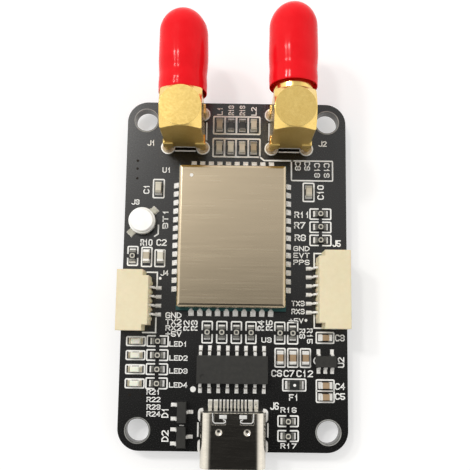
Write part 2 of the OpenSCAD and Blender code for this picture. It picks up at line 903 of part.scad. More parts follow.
module jack_contact() {
    socket = 3;
    slit = 0.15;
    color(gold) difference() {
        union() {
            about_barrel() square([contact_diameter / 2, insulator_end_y]);
            translate([0, 0, -deck - contact_tail])
                cylinder(d = contact_diameter, h = deck + contact_tail + jack_axis_height);
        }
        about_barrel() translate([0, insulator_end_y - socket])
            square([contact_bore / 2, socket + past]);
        translate([-slit / 2, insulator_end_y - socket / 2, jack_axis_height - contact_diameter])
            cube([slit, socket, 2 * contact_diameter]);
    }
}

// A dipped vinyl cap: slightly bulged sides, and an end that is domed inside and out past the thread
module dust_cap(gap) {
    mouth = jack_block / 2 + gap;
    shoulder = mouth + barrel_length - thread_chamfer + cap_clearance;
    end = mouth + cap_length;
    bulge = 0.12;
    color(cap_red) about_barrel() difference() {
        union() {
            polygon([
                [0, mouth],
                [cap_radius - bulge, mouth],
                [cap_radius, (mouth + shoulder) / 2],
                [cap_radius, shoulder],
                [0, shoulder]
            ]);
            cap_dome(cap_radius, shoulder, end);
        }
        translate([0, mouth - past]) square([cap_inside_radius, shoulder - mouth + past]);
        cap_dome(cap_inside_radius, shoulder, end - cap_end);
    }
}

// Half of a domed end, drawn as radius and distance
module cap_dome(radius, from, to) {
    steps = 10;
    polygon(concat([[0, from]],
        [for (i = [0:steps]) [radius * cos(i * 90 / steps), from + (to - from) * sin(i * 90 / steps)]]));
}

module left_jack_body() { at_jack(left_jack_x) jack_body(); }
module left_jack_insulator() { at_jack(left_jack_x) jack_insulator(); }
module left_jack_contact() { at_jack(left_jack_x) jack_contact(); }
module left_dust_cap() { at_jack(left_jack_x) dust_cap(left_cap_gap); }
module right_jack_body() { at_jack(right_jack_x) jack_body(); }
module right_jack_insulator() { at_jack(right_jack_x) jack_insulator(); }
module right_jack_contact() { at_jack(right_jack_x) jack_contact(); }
module right_dust_cap() { at_jack(right_jack_x) dust_cap(right_cap_gap); }

// USB socket

// The shell's outline, shrunk by an inset, standing on its flat side
module usb_outline(inset) {
    radius = usb_radius - inset;
    square([usb_width - 2 * usb_radius, 2 * radius], center = true);
    for (side = [-1, 1]) translate([side * (usb_width / 2 - usb_radius), 0]) circle(radius);
}

// Extrudes an outline of the socket's cross-section between two distances from the rear
module along_usb(from, to) {
    translate([0, usb_rear - from, deck + usb_radius]) rotate([90, 0, 0])
        linear_extrude(to - from) children();
}

// A slot around a sprung finger, open on the finger's root side
module finger_slot_shape() {
    difference() {
        slab([finger_width, finger_length, usb_wall + past]);
        translate([0, finger_slot, -past])
            slab([finger_width - 2 * finger_slot, finger_length, usb_wall + 3 * past]);
    }
}

module usb_shell() {
    top = deck + usb_height;
    color(steel) difference() {
        union() {
            along_usb(0, usb_length) difference() {
                usb_outline(0);
                usb_outline(usb_wall);
            }
            for (side = [-1, 1], y = usb_leg_rows)
                translate([side * (usb_leg_x + usb_wall / 2), y, deck - usb_leg_depth])
                    slab([usb_wall, usb_leg_width, usb_leg_depth + usb_radius]);
        }
        for (side = [-1, 1]) {
            translate([side * finger_x, usb_rear - finger_length / 2 - 0.15, top - usb_wall - past / 4])
                finger_slot_shape();
            translate([side * finger_x, dimple_y, top - dimple_depth + dimple_radius])
                sphere(dimple_radius);
        }
    }
}

module usb_insulator() {
    tongue_length = usb_length - usb_base_length - tongue_setback;
    color(chip_black) {
        along_usb(usb_fit, usb_base_length) usb_outline(usb_wall + usb_fit);
        translate([0, usb_rear - usb_base_length - tongue_length / 2,
            deck + usb_radius - tongue_thickness / 2])
            slab([tongue_width, tongue_length, tongue_thickness]);
    }
}

module usb_contacts() {
    tongue_root = usb_rear - usb_base_length;
    strip_y = tongue_root - strip_length / 2;
    color(gold) {
        for (x = row_offsets(12, strip_pitch)) {
            translate([x, strip_y, deck + usb_radius + tongue_thickness / 2])
                slab([strip_width, strip_length, strip_thickness]);
            translate([x, strip_y, deck + usb_radius - tongue_thickness / 2 - strip_thickness])
                slab([strip_width, strip_length, strip_thickness]);
        }
        for (x = narrow_tail_x) usb_tail(x, narrow_tail);
        for (x = wide_tail_x) usb_tail(x, wide_tail);
    }
}

// One solder tail, from the rear of the insulator down to its pad
module usb_tail(x, width) {
    reach = usb_tail_reach + tail_length / 2;
    rise = usb_wall + 0.5;
    translate([x, usb_rear - usb_fit, seat]) rotate(90) bent_strip([
        [0, rise],
        [tail_thickness, rise],
        [usb_tail_reach - tail_length / 2 + tail_thickness, tail_thickness],
        [reach, tail_thickness],
        [reach, 0],
        [usb_tail_reach - tail_length / 2, 0],
        [0, rise - 2 * tail_thickness]
    ], width - 2 * pad_overlap);
}

// Headers

// A header's own frame: x = 0 at the housing's rear, +X out of the board's edge
module at_header(side) {
    if (side == "left")
        translate([header_shift - header_rear, left_header_y, deck]) rotate(180) children();
    else
        translate([header_shift + header_rear, right_header_y, deck]) children();
}

function header_length(ways) = (ways - 1) * header_pitch + 2 * header_end;

module header_housing(ways) {
    length = header_length(ways);
    color(cream) difference() {
        union() {
            translate([header_depth / 2, 0, 0]) slab([header_depth, length, header_height]);
            for (y = row_offsets(ways + 1, header_pitch))
                translate([0, y, 0]) cylinder(r = rib_radius, h = rib_height);
        }
        translate([rear_wall, -length / 2 + header_wall, header_wall])
            cube([header_depth, length - 2 * header_wall, header_height - 2 * header_wall]);
        for (side = [-1, 1]) {
            translate([0, side * (length - ear_width) / 2, 0])
                slab([2 * ear_step, ear_width + 0.01, header_height + past]);
            translate([tab_setback + tab_length / 2, side * (length - tab_thickness) / 2, -past])
                slab([tab_length, tab_thickness + 0.01, tab_height + past]);
        }
        for (y = row_offsets(ways, header_pitch))
            translate([0, y, contact_height - wire_side / 2])
                slab([2 * header_depth, wire_side, wire_side]);
    }
}

// One contact wire: mating pin, run through the rear wall, bend and foot
module header_contact() {
    drop_x = -rib_radius;
    foot_x = -contact_reach - header_pad_length / 2;
    top = contact_height + wire_side / 2;
    low = solder_thickness;
    bent_strip([
        [rear_wall + mating_length, top],
        [drop_x, top],
        [drop_x - wire_side, top - wire_side],
        [drop_x - wire_side, low + wire_side],
        [foot_x, low + wire_side],
        [foot_x, low],
        [drop_x, low],
        [drop_x, top - wire_side],
        [rear_wall + mating_length, top - wire_side]
    ], wire_side);
}

module header_contacts(ways) {
    color(gold) for (y = row_offsets(ways, header_pitch)) translate([0, y, 0]) header_contact();
}

module header_tabs(ways) {
    color(solder_silver) for (side = [-1, 1])
        translate([tab_setback + tab_length / 2, side * (header_length(ways) - tab_thickness) / 2, 0])
            slab([tab_length, tab_thickness, tab_height]);
}

module left_header_housing() { at_header("left") header_housing(left_ways); }
module left_header_contacts() { at_header("left") header_contacts(left_ways); }
module left_header_tabs() { at_header("left") header_tabs(left_ways); }
module right_header_housing() { at_header("right") header_housing(right_ways); }
module right_header_contacts() { at_header("right") header_contacts(right_ways); }
module right_header_tabs() { at_header("right") header_tabs(right_ways); }

// Backup cell

module at_cell() {
    translate([cell_x, cell_y, seat]) rotate(cell_turn) children();
}

module backup_cell() {
    rim = cell_diameter / 2;
    low = cell_tab_thickness;
    color(steel) at_cell() rotate_extrude() polygon([
        [0, low],
        [rim - 0.1, low],
        [rim, low + 0.1],
        [rim, low + cell_height - cell_lid_rise - 0.08],
        [rim - 0.08, low + cell_height - cell_lid_rise],
        [rim - cell_lid_step, low + cell_height - cell_lid_rise],
        [rim - cell_lid_step, low + cell_height - 0.12],
        [rim - cell_lid_step - 0.12, low + cell_height],
        [0, low + cell_height]
    ]);
}

module cell_bottom_tab() {
    reach = cell_diameter / 2 + cell_tab_reach;
    color(steel) at_cell() translate([-reach / 2 + 0.5, 0, 0])
        slab([reach + 1, cell_tab_width, cell_tab_thickness]);
}

// Bent tab welded to the can's side
module cell_side_tab() {
    side = cell_diameter / 2;
    color(steel) at_cell() bent_strip([
        [side, cell_tab_thickness + cell_flange_height],
        [side + cell_tab_thickness, cell_tab_thickness + cell_flange_height],
        [side + cell_tab_thickness, cell_tab_thickness],
        [side + cell_tab_reach, cell_tab_thickness],
        [side + cell_tab_reach, 0],
        [side, 0]
    ], cell_tab_width);
}

// Leaded chips

module at_serial() {
    translate([serial_x, chip_y, seat]) children();
}

module serial_chip_body() {
    mark_radius = 0.4;
    mark_inset = 0.9;
    mark_depth = 0.08;
    color(chip_black) at_serial() difference() {
        translate([0, 0, body_standoff])
            moulded_body(serial_length, serial_width, serial_height,
                lead_exit(serial_height) - body_standoff);
        translate([-serial_length / 2 + mark_inset, -serial_width / 2 + mark_inset,
            body_standoff + serial_height - mark_depth])
            cylinder(r = mark_radius, h = past);
    }
}

module serial_chip_leads() {
    color(solder_silver) at_serial() for (turn = [0, 180])
        rotate(turn) lead_row(serial_row, serial_width, serial_span, lead_exit(serial_height));
}

module small_body(width) {
    color(chip_black) translate([0, 0, body_standoff])
        moulded_body(small_length, width, small_height, lead_exit(small_height) - body_standoff);
}

module at_regulator() {
    translate([regulator_x, regulator_y, seat]) children();
}

module regulator_body() { at_regulator() small_body(regulator_width); }

module regulator_leads() {
    exit_top = lead_exit(small_height);
    color(solder_silver) at_regulator() {
        lead_row(outer_pair, regulator_width, regulator_span, exit_top);
        rotate(180) lead_row(regulator_low_row, regulator_width, regulator_span, exit_top);
    }
}

// A diode lies turned, with two leads on its left and one on its right
module at_diode(y) {
    translate([diode_x, y, seat]) rotate(90) children();
}

module diode_leads() {
    exit_top = lead_exit(small_height);
    color(solder_silver) {
        lead_row(outer_pair, diode_width, diode_span, exit_top);
        rotate(180) lead_row([0], diode_width, diode_span, exit_top);
    }
}

module upper_diode_body() { at_diode(upper_diode_y) small_body(diode_width); }
module upper_diode_leads() { at_diode(upper_diode_y) diode_leads(); }
module lower_diode_body() { at_diode(lower_diode_y) small_body(diode_width); }
module lower_diode_leads() { at_diode(lower_diode_y) diode_leads(); }

// Lamps, capacitors, resistors and the fuse

module lamp_bases() {
    color(ptfe_white) at_places(lamps, seat)
        slab([chip_length - 2 * terminal_length, chip_width, lamp_base_height]);
}

module lamp_lenses() {
    foot = chip_length / 2 - terminal_length;
    lean = 0.1;
    color(cream) at_places(lamps, seat + lamp_base_height) bent_strip([
        [-foot, 0],
        [foot, 0],
        [foot - lean, lamp_lens_height],
        [-foot + lean, lamp_lens_height]
    ], chip_width);
}

module lamp_terminals() {
    color(gold) at_places(lamps, seat) chip_ends(chip_length, chip_width, lamp_base_height);
}

module capacitor_bodies() {
    color(ceramic_tan) at_places(capacitors, seat)
        chip_middle(chip_length, chip_width, capacitor_height);
}

module capacitor_terminals() {
    color(solder_silver) at_places(capacitors, seat)
        chip_ends(chip_length, chip_width, capacitor_height);
}

module resistor_bodies() {
    color(chip_black) at_places(resistors, seat)
        chip_middle(chip_length, chip_width, resistor_height);
}

module resistor_terminals() {
    color(solder_silver) at_places(resistors, seat)
        chip_ends(chip_length, chip_width, resistor_height);
}

module fuse_body() {
    color(module_green) at_places([fuse_place], seat)
        chip_middle(fuse_length, fuse_width, fuse_height);
}

module fuse_terminals() {
    color(solder_silver) at_places([fuse_place], seat)
        chip_ends(fuse_length, fuse_width, fuse_height);
}

circuit_board();
solder_joints();
module_board();
module_solder();
module_shield();
receiver_chip();
module_oscillator();
module_memory();
signal_filters();
module_capacitors();
left_jack_body();
left_jack_insulator();
left_jack_contact();
left_dust_cap();
right_jack_body();
right_jack_insulator();
right_jack_contact();
right_dust_cap();
usb_shell();
usb_insulator();
usb_contacts();
left_header_housing();
left_header_contacts();
left_header_tabs();
right_header_housing();
right_header_contacts();
right_header_tabs();
backup_cell();
cell_side_tab();
cell_bottom_tab();
serial_chip_body();
serial_chip_leads();
regulator_body();
regulator_leads();
upper_diode_body();
upper_diode_leads();
lower_diode_body();
lower_diode_leads();
lamp_bases();
lamp_lenses();
lamp_terminals();
capacitor_bodies();
capacitor_terminals();
resistor_bodies();
resistor_terminals();
fuse_body();
fuse_terminals();
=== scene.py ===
import math

import bmesh
import bpy
from mathutils import Matrix, Vector


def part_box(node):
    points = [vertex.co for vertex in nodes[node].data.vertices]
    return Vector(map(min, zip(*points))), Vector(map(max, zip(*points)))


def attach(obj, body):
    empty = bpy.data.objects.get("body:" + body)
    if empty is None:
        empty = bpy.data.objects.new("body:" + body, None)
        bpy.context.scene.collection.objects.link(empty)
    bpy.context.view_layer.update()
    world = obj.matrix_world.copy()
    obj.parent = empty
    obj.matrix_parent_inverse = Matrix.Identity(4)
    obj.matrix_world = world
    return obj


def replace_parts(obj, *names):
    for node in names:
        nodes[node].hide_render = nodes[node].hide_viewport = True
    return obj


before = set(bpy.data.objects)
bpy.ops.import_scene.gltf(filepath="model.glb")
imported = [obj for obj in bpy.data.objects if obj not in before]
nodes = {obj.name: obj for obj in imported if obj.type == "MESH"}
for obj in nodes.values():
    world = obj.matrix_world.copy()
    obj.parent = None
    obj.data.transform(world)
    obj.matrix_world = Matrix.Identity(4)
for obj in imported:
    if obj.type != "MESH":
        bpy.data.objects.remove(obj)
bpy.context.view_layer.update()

MM = 0.001
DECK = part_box("circuit_board")[1].z / MM
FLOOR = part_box("left_jack_body")[0].z / MM


# Materials

def add_node(tree, kind, values=None, **settings):
    node = tree.nodes.new(kind)
    for name, value in settings.items():
        setattr(node, name, value)
    for name, value in (values or {}).items():
        node.inputs[name].default_value = value
    return node


def ramp(tree, source, low, high, start=0.3, end=0.7):
    """Turns a grey value into a colour between two colours."""
    node = add_node(tree, "ShaderNodeValToRGB")
    first, last = node.color_ramp.elements
    first.position, last.position = start, end
    first.color, last.color = (*low, 1), (*high, 1)
    tree.links.new(source, node.inputs["Fac"])
    return node.outputs["Color"]


def span(tree, source, low, high, start=0.3, end=0.7):
    """Maps a grey value to a range of numbers."""
    node = add_node(tree, "ShaderNodeMapRange",
                    {"From Min": start, "From Max": end, "To Min": low, "To Max": high})
    tree.links.new(source, node.inputs["Value"])
    return node.outputs["Result"]


def grain(tree, cycles, detail=3.0, shift=0.0):
    """Noise in the object's own coordinates, with its cycles per millimetre along each axis."""
    place = add_node(tree, "ShaderNodeTexCoord")
    scaled = add_node(tree, "ShaderNodeMapping")
    scaled.inputs["Scale"].default_value = [c / MM for c in cycles]
    scaled.inputs["Location"].default_value = (shift, shift, shift)
    noise = add_node(tree, "ShaderNodeTexNoise", {"Scale": 1.0, "Detail": detail, "Roughness": 0.6})
    tree.links.new(place.outputs["Object"], scaled.inputs["Vector"])
    tree.links.new(scaled.outputs["Vector"], noise.inputs["Vector"])
    return noise.outputs["Fac"]


def mixed(tree, factor, first, second):
    """Mixes two colours by a grey value."""
    node = add_node(tree, "ShaderNodeMix", data_type="RGBA")
    tree.links.new(factor, node.inputs["Factor"])
    tree.links.new(first, node.inputs[6])
    tree.links.new(second, node.inputs[7])
    return node.outputs[2]


def material(name, low, high, rough, cycles, metallic=0.0, bump=0.0, edge=0.0, **sockets):
    """A surface with noise in its colour, roughness and relief, and softened edges."""
    made = bpy.data.materials.new(name)
    made.use_nodes = True
    tree = made.node_tree
    shader = tree.nodes["Principled BSDF"]
    shader.inputs["Metallic"].default_value = metallic
    for socket, value in sockets.items():
        shader.inputs[socket.replace("_", " ")].default_value = value
    fine = grain(tree, cycles)
    broad = grain(tree, [c * 0.13 for c in cycles], 2.0, 7.3)
    blend = add_node(tree, "ShaderNodeMath", {1: 0.5}, operation="MULTIPLY_ADD")
    half = add_node(tree, "ShaderNodeMath", {1: 0.5}, operation="MULTIPLY")
    tree.links.new(broad, half.inputs[0])
    tree.links.new(fine, blend.inputs[0])
    tree.links.new(half.outputs[0], blend.inputs[2])
    tree.links.new(ramp(tree, blend.outputs[0], low, high), shader.inputs["Base Color"])
    tree.links.new(span(tree, fine, rough[0], rough[1]), shader.inputs["Roughness"])
    normal = None
    if edge:
        normal = add_node(tree, "ShaderNodeBevel", {"Radius": edge * MM}, samples=4).outputs["Normal"]
        tree.links.new(normal, shader.inputs["Normal"])
    if bump:
        relief = add_node(tree, "ShaderNodeBump", {"Strength": 1.0, "Distance": bump * MM})
        tree.links.new(fine, relief.inputs["Height"])
        if normal:
            tree.links.new(normal, relief.inputs["Normal"])
        tree.links.new(relief.outputs["Normal"], shader.inputs["Normal"])
    return made


def place_mask(tree, axis, start, end):
    """Rises from 0 to 1 between two places along an axis, in millimetres."""
    place = add_node(tree, "ShaderNodeTexCoord")
    split = add_node(tree, "ShaderNodeSeparateXYZ")
    tree.links.new(place.outputs["Object"], split.inputs[0])
    return span(tree, split.outputs[axis], 0.0, 1.0, start * MM, end * MM)


def tone_by_part(tree, low, high):
    """One tone for each chip part, from the cell of a grid that it stands in."""
    place = add_node(tree, "ShaderNodeTexCoord")
    snap = add_node(tree, "ShaderNodeVectorMath", operation="SNAP")
    snap.inputs[1].default_value = (1.67 * MM, 2.9 * MM, 20 * MM)
    noise = add_node(tree, "ShaderNodeTexWhiteNoise")
    tree.links.new(place.outputs["Object"], snap.inputs[0])
    tree.links.new(snap.outputs[0], noise.inputs["Vector"])
    return ramp(tree, noise.outputs["Value"], low, high, 0.0, 1.0)


def repaint(made, colour_of):
    """Replaces a material's colour with one made from it."""
    tree = made.node_tree
    socket = tree.nodes["Principled BSDF"].inputs["Base Color"]
    tree.links.new(colour_of(tree, socket.links[0].from_socket), socket)
    return made


def facing(tree, axis):
    """How far the surface faces along an axis, from -1 to 1."""
    surface = add_node(tree, "ShaderNodeNewGeometry")
    split = add_node(tree, "ShaderNodeSeparateXYZ")
    tree.links.new(surface.outputs["True Normal"], split.inputs[0])
    return split.outputs[axis]


def board_material():
    """Glossy black mask over faint copper, and a bare laminate on the cut edges."""
    made = material("board_mask", (0.0035, 0.0035, 0.0037), (0.006, 0.006, 0.0056), (0.22, 0.29),
                    (5, 5, 5), bump=0.0008, Specular_IOR_Level=0.8)
    tree = made.node_tree
    shader = tree.nodes["Principled BSDF"]
    mask = shader.inputs["Base Color"].links[0].from_socket
    laminate = ramp(tree, grain(tree, (2, 2, 14)), (0.03, 0.028, 0.022), (0.09, 0.08, 0.06))
    upright = add_node(tree, "ShaderNodeMath", operation="ABSOLUTE")
    tree.links.new(facing(tree, "Z"), upright.inputs[0])
    flat = span(tree, upright.outputs[0], 0.0, 1.0, 0.4, 0.6)
    tree.links.new(mixed(tree, flat, laminate, mask), shader.inputs["Base Color"])
    return made


board_mask = board_material()
white_ink = material("white_ink", (0.9, 0.9, 0.87), (0.98, 0.98, 0.96), (0.5, 0.65), (12, 12, 12),
                     bump=0.002)
bare_rim = material("bare_rim", (0.16, 0.16, 0.15), (0.42, 0.42, 0.4), (0.3, 0.5), (1.2, 1.2, 1.2))
solder = material("solder", (0.86, 0.85, 0.82), (0.99, 0.98, 0.96), (0.2, 0.45), (2.2, 2.2, 2.2),
                  metallic=0.12, bump=0.05, edge=0.12)
substrate = material("module_laminate", (0.004, 0.045, 0.046), (0.009, 0.085, 0.084), (0.4, 0.55),
                     (6, 6, 6))
shield = material("shield_metal", (0.585, 0.487, 0.343), (0.635, 0.53, 0.377), (0.22, 0.28),
                  (0.12, 4, 4), metallic=1.0, bump=0.0002)
gold = material("gold_plate", (0.81, 0.56, 0.165), (0.93, 0.69, 0.25), (0.18, 0.25), (3, 3, 3),
                metallic=1.0, bump=0.004, edge=0.08)
vinyl = material("red_vinyl", (0.82, 0.006, 0.012), (0.88, 0.011, 0.018), (0.1, 0.14),
                 (0.8, 0.8, 0.8), bump=0.004, Specular_IOR_Level=0.1)
nylon = material("cream_nylon", (0.77, 0.68, 0.45), (0.84, 0.755, 0.53), (0.42, 0.55),
                 (1.5, 1.5, 1.5), bump=0.004, edge=0.16, Subsurface_Weight=0.12, Subsurface_Scale=0.0006)
usb_steel = material("usb_steel", (0.66, 0.62, 0.54), (0.78, 0.735, 0.645), (0.08, 0.16), (0.4, 6, 6),
                     metallic=1.0, bump=0.0003, edge=0.1)
# bright nickel of the cell and pad rims, also used for the painted highlights on the socket shell's lips
# and latches
nickel_and_lip_highlight = material("bright_nickel", (0.9, 0.9, 0.87), (0.98, 0.98, 0.96), (0.3, 0.42), (2, 2, 2),
                  metallic=0.4, bump=0.002, edge=0.08)
tab_steel = material("tab_steel", (0.3, 0.29, 0.23), (0.62, 0.6, 0.52), (0.25, 0.4),
                     (1.6, 1.6, 1.6), metallic=0.7, bump=0.01, edge=0.06)
epoxy = material("moulded_epoxy", (0.014, 0.014, 0.0125), (0.032, 0.031, 0.027), (0.42, 0.6),
                 (14, 14, 14), bump=0.006, edge=0.08)
film = material("resistor_film", (0.014, 0.014, 0.015), (0.036, 0.035, 0.034), (0.35, 0.5),
                (8, 8, 8), edge=0.05)
fluoropolymer = material("white_fluoropolymer", (0.84, 0.84, 0.81), (0.92, 0.92, 0.9), (0.4, 0.5),
                         (3, 3, 3))
ceramic = material("fired_ceramic", (0.3, 0.2, 0.11), (0.44, 0.31, 0.19), (0.4, 0.55), (4, 4, 4),
                   edge=0.08)
tin = material("tinned_terminal", (0.84, 0.83, 0.79), (0.98, 0.97, 0.94), (0.25, 0.45), (3, 3, 3),
               metallic=0.15, bump=0.02, edge=0.08)
resistor_tin = material("resistor_tin", (0.01, 0.01, 0.009), (0.33, 0.325, 0.29), (0.35, 0.5),
                        (2.6, 2.6, 2.6), metallic=0.2, bump=0.02, edge=0.08)
lead_tin = material("lead_tin", (0.86, 0.85, 0.81), (0.98, 0.97, 0.94), (0.25, 0.45), (3, 3, 3),
                    metallic=0.15, bump=0.02, edge=0.08)
cap_tin = material("capacitor_tin", (0.84, 0.83, 0.79), (0.98, 0.97, 0.94), (0.3, 0.5), (3, 3, 3),
                   metallic=0.3, bump=0.02, edge=0.08)
usb_contact = material("usb_contact", (0.86, 0.82, 0.7), (0.97, 0.94, 0.85), (0.25, 0.4), (3, 3, 3),
                       metallic=0.6, edge=0.05)
lamp_base = material("lamp_laminate", (0.74, 0.75, 0.68), (0.84, 0.85, 0.78), (0.45, 0.6),
                     (5, 5, 5))
lamp_resin = material("lamp_resin", (0.8, 0.82, 0.7), (0.92, 0.92, 0.82), (0.25, 0.35), (1.1, 1.1, 1.1),
                      edge=0.1, Subsurface_Weight=0.2, Subsurface_Scale=0.0004)
lamp_terminal = material("lamp_terminal", (0.36, 0.3, 0.19), (0.8, 0.74, 0.58), (0.3, 0.45), (2, 2, 2),
                         metallic=0.4, edge=0.06)
faded_ink = material("faded_ink", (0.42, 0.4, 0.34), (0.72, 0.7, 0.62), (0.5, 0.65), (6, 6, 6))
# painted shade standing in for the dark inside of the open via holes
painted_via_shade = material("painted_via_shade", (0.001, 0.001, 0.001), (0.02, 0.014, 0.008), (0.5, 0.7),
                     (5, 5, 5), Specular_IOR_Level=0.2)
fuse_film = material("fuse_film", (0.008, 0.01, 0.009), (0.018, 0.021, 0.019), (0.4, 0.5),
                     (5, 5, 5), edge=0.06)


MILLED_ROUGHNESS = 0.44


def dull_front(made):
    """Duller on the milled faces of the near side than on the turned ones."""
    tree = made.node_tree
    rough = tree.nodes["Principled BSDF"].inputs["Roughness"]
    blend = add_node(tree, "ShaderNodeMix", {3: MILLED_ROUGHNESS})
    tree.links.new(span(tree, facing(tree, "Y"), 1.0, 0.0, -0.9, -0.6), blend.inputs[0])
    tree.links.new(rough.links[0].from_socket, blend.inputs[2])
    tree.links.new(blend.outputs[0], rough)


def jack_pad_painted_reflection(tree, colour):
    """Golden brown painted on the solder of the jacks' pads, which stand apart in the far corners: a
    painted reflection of the gold jack bodies and painted shade under them.
    """
    across = add_node(tree, "ShaderNodeMath", operation="ABSOLUTE")
    place = add_node(tree, "ShaderNodeTexCoord")
    split = add_node(tree, "ShaderNodeSeparateXYZ")
    tree.links.new(place.outputs["Object"], split.inputs[0])
    tree.links.new(split.outputs["X"], across.inputs[0])
    both = add_node(tree, "ShaderNodeMath", operation="MULTIPLY")
    tree.links.new(span(tree, across.outputs[0], 0.0, 1.0, 3.6 * MM, 3.7 * MM), both.inputs[0])
    tree.links.new(place_mask(tree, "Y", 16.9, 17.0), both.inputs[1])
    # painted gold reflection and painted shade on the solder of the jack pads
    painted_gold_reflection = ramp(tree, grain(tree, (1.5, 1.5, 1.5)), (0.3, 0.2, 0.11), (0.72, 0.6, 0.4))
    return mixed(tree, both.outputs[0], colour, painted_gold_reflection)


def ceramic_colour(tree, colour):
    """Browns on the near side and paler tones among the far rows."""
    pale = tone_by_part(tree, (0.36, 0.28, 0.17), (0.8, 0.77, 0.66))
    either = add_node(tree, "ShaderNodeMath", operation="MAXIMUM")
    tree.links.new(place_mask(tree, "Y", 9.9, 10.0), either.inputs[0])
    tree.links.new(place_mask(tree, "X", -8.9, -9.0), either.inputs[1])
    return mixed(tree, either.outputs[0], colour, pale)


def terminal_colour(tree, colour):
    """Dull ends on the parts of the far rows."""
    dull = tone_by_part(tree, (0.2, 0.17, 0.12), (0.7, 0.68, 0.58))
    return mixed(tree, place_mask(tree, "Y", 9.9, 10.0), colour, dull)


def lead_painted_shade(tree, colour):
    """Painted shade: darker on the slopes of the leads than on their feet and shoulders."""
    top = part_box("serial_chip_leads")[1].z / MM
    rise = top - DECK
    both = add_node(tree, "ShaderNodeMath", operation="MULTIPLY")
    tree.links.new(place_mask(tree, "Z", DECK + 0.22 * rise, DECK + 0.32 * rise), both.inputs[0])
    tree.links.new(place_mask(tree, "Z", top - 0.12 * rise, top - 0.24 * rise), both.inputs[1])
    # painted shade on the slopes of the leads
    painted_slope_shade = ramp(tree, grain(tree, (3, 3, 3)), (0.1, 0.09, 0.08), (0.34, 0.32, 0.29))
    return mixed(tree, both.outputs[0], colour, painted_slope_shade)


def usb_contact_colour(tree, colour):
    """Tinned tails behind the shell, and gold on the tongue."""
    plate = ramp(tree, grain(tree, (3, 3, 3)), (0.87, 0.6, 0.19), (0.97, 0.71, 0.27))
    return mixed(tree, place_mask(tree, "Y", -19.6, -19.5), plate, colour)


dull_front(gold)
repaint(solder, jack_pad_painted_reflection)
repaint(ceramic, ceramic_colour)
repaint(lead_tin, lead_painted_shade)
repaint(cap_tin, terminal_colour)
repaint(usb_contact, usb_contact_colour)

LOOKS = {
    board_mask: ["circuit_board"],
    solder: ["solder_joints", "module_solder"],
    substrate: ["module_board"],
    shield: ["module_shield"],
    epoxy: ["receiver_chip", "module_memory", "usb_insulator", "serial_chip_body", "regulator_body",
            "upper_diode_body", "lower_diode_body"],
    film: ["resistor_bodies"],
    gold: ["module_oscillator", "left_jack_body", "left_jack_contact", "right_jack_body",
           "right_jack_contact"],
    lamp_terminal: ["lamp_terminals"],
    usb_contact: ["usb_contacts"],
    ceramic: ["signal_filters", "module_capacitors", "capacitor_bodies"],
    fluoropolymer: ["left_jack_insulator", "right_jack_insulator"],
    vinyl: ["left_dust_cap", "right_dust_cap"],
    cap_tin: ["capacitor_terminals"],
    usb_steel: ["usb_shell"],
    nylon: ["left_header_housing", "right_header_housing"],
    lead_tin: ["serial_chip_leads"],
    tin: ["left_header_contacts", "left_header_tabs", "right_header_contacts", "right_header_tabs",
          "regulator_leads", "upper_diode_leads", "lower_diode_leads"],
    resistor_tin: ["resistor_terminals", "fuse_terminals"],
    nickel_and_lip_highlight: ["backup_cell"],
    tab_steel: ["cell_side_tab", "cell_bottom_tab"],
    lamp_base: ["lamp_bases"],
    lamp_resin: ["lamp_lenses"],
    fuse_film: ["fuse_body"],
}
for look, names in LOOKS.items():
    for name in names:
        nodes[name].data.materials.clear()
        nodes[name].data.materials.append(look)


# Pieces

WELD = 0.0005
SINK = 0.01


def node_mesh(node):
    """A node's own mesh, in millimetres."""
    bm = bmesh.new()
    bm.from_mesh(nodes[node].data)
    bmesh.ops.scale(bm, vec=(1 / MM, 1 / MM, 1 / MM), verts=bm.verts)
    bmesh.ops.remove_doubles(bm, verts=bm.verts, dist=WELD)
    return bm


def piece(name, bm, look):
    """Makes a piece of the object from a mesh in millimetres."""
    bmesh.ops.scale(bm, vec=(MM, MM, MM), verts=bm.verts)
    bmesh.ops.recalc_face_normals(bm, faces=bm.faces)
    mesh = bpy.data.meshes.new(name)
    bm.to_mesh(mesh)
    bm.free()
    made = bpy.data.objects.new(name, mesh)
    bpy.context.scene.collection.objects.link(made)
    mesh.materials.append(look)
    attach(made, "root")
    return made


def spline(points, steps):
    """A smooth curve through points, as pairs."""
    curve = []
    for i in range(len(points) - 1):
        near = (min(max(j, 0), len(points) - 1) for j in range(i - 1, i + 3))
        a, b, c, d = (Vector(points[j]) for j in near)
        for step in range(steps):
            t = step / steps
            curve.append(0.5 * (2 * b + (c - a) * t + (2 * a - 5 * b + 4 * c - d) * t * t
                                + (3 * b - a - 3 * c + d) * t ** 3))
    return curve + [Vector(points[-1])]


# Outside of a dipped cap: distance from its mouth and radius, up to its shoulder
CAP_SIDE = [(0.0, 3.235), (0.08, 3.29), (0.6, 3.315), (1.2, 3.335), (1.8, 3.31), (2.5, 3.275),
            (3.4, 3.325), (4.5, 3.385), (5.6, 3.385), (7.0, 3.365), (8.5, 3.35)]
# Inside: its radius, and where its straight part and its dome end
CAP_INSIDE, CAP_STRAIGHT, CAP_HOLLOW = 3.205, 9.2, 11.3


